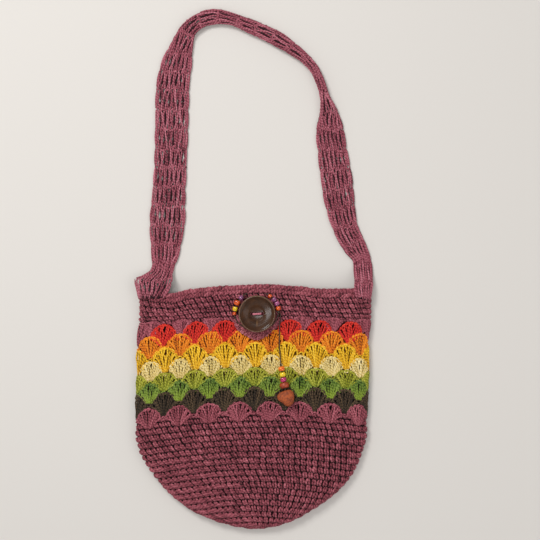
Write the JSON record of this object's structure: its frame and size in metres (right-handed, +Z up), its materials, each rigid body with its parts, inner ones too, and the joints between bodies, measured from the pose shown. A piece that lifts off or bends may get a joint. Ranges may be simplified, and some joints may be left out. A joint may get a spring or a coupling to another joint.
{
  "type": "crocheted crossbody bag",
  "caption": "Crocheted shoulder bag with round bottom, rainbow shell-stitch bands, plum strap, round two-hole button, beaded cord loop and a hanging bead dangle.",
  "frame": {"origin": "middle of the footprint, on the surface that the bag lies on", "axes": "bag lies on its back: +X across the bag, to its right as seen from the front; +Y from the bottom of the pouch to the crown of the strap; +Z up out of the front"},
  "size_m": [0.2478, 0.5432, 0.0259],
  "materials": {
    "plum_yarn": "twisted cotton yarn, matt, crocheted",
    "red_yarn": "twisted cotton yarn, matt, shell stitch",
    "orange_yarn": "twisted cotton yarn, matt, shell stitch",
    "yellow_yarn": "twisted cotton yarn, matt, shell stitch",
    "cream_yarn": "twisted cotton yarn, matt, shell stitch",
    "olive_yarn": "twisted cotton yarn, matt, shell stitch",
    "green_yarn": "twisted cotton yarn, matt, shell stitch, shaded",
    "brown_yarn": "twisted cotton yarn, matt, shell stitch",
    "coconut_shell": "polished dark brown shell",
    "rose_thread": "sewing thread",
    "waxed_cord": "waxed cotton cord",
    "lilac_glass": "small glossy bead",
    "orange_glass": "small glossy bead",
    "yellow_glass": "small glossy bead",
    "magenta_glass": "small glossy bead",
    "terracotta": "semi-polished red-brown seed or stone"
  },
  "bodies": {
    "root": {"top_band": "plum_yarn", "lower_pouch": "plum_yarn", "strap": "plum_yarn", "button_tab": "plum_yarn", "shell_round_red": "red_yarn", "shell_round_orange": "orange_yarn", "shell_round_yellow": "yellow_yarn", "shell_round_cream": "cream_yarn", "shell_round_olive": "olive_yarn", "shell_round_green": "green_yarn", "shell_round_brown": "brown_yarn", "loop_cord": "waxed_cord", "dangle_tie": "waxed_cord", "loop_bead_lilac_left": "lilac_glass", "loop_bead_orange_left": "orange_glass", "loop_bead_yellow_left": "yellow_glass", "loop_bead_small_left": "orange_glass", "loop_bead_orange_right": "orange_glass", "loop_bead_magenta_right": "lilac_glass", "loop_bead_lilac_right": "lilac_glass", "loop_bead_small_right": "orange_glass"},
    "button": {"button": "coconut_shell", "button_thread": "rose_thread"},
    "dangle": {"dangle_cord": "waxed_cord", "dangle_bead_orange": "orange_glass", "dangle_bead_yellow": "yellow_glass", "dangle_bead_magenta": "magenta_glass", "dangle_bead_brown": "terracotta", "stone_drop": "terracotta", "end_knot": "waxed_cord"}
  },
  "joints": [
    {"name": "button_turn", "type": "hinge", "parent": "root", "child": "button", "pos_m": [0.00292, -0.04669, 0.0213], "axis": [0, 0, 1], "range_deg": [-30, 30]},
    {"name": "dangle_swing", "type": "hinge", "parent": "root", "child": "dangle", "pos_m": [0.02702, -0.04659, 0.019], "axis": [0, 0, 1], "range_deg": [-15, 60]}
  ]
}
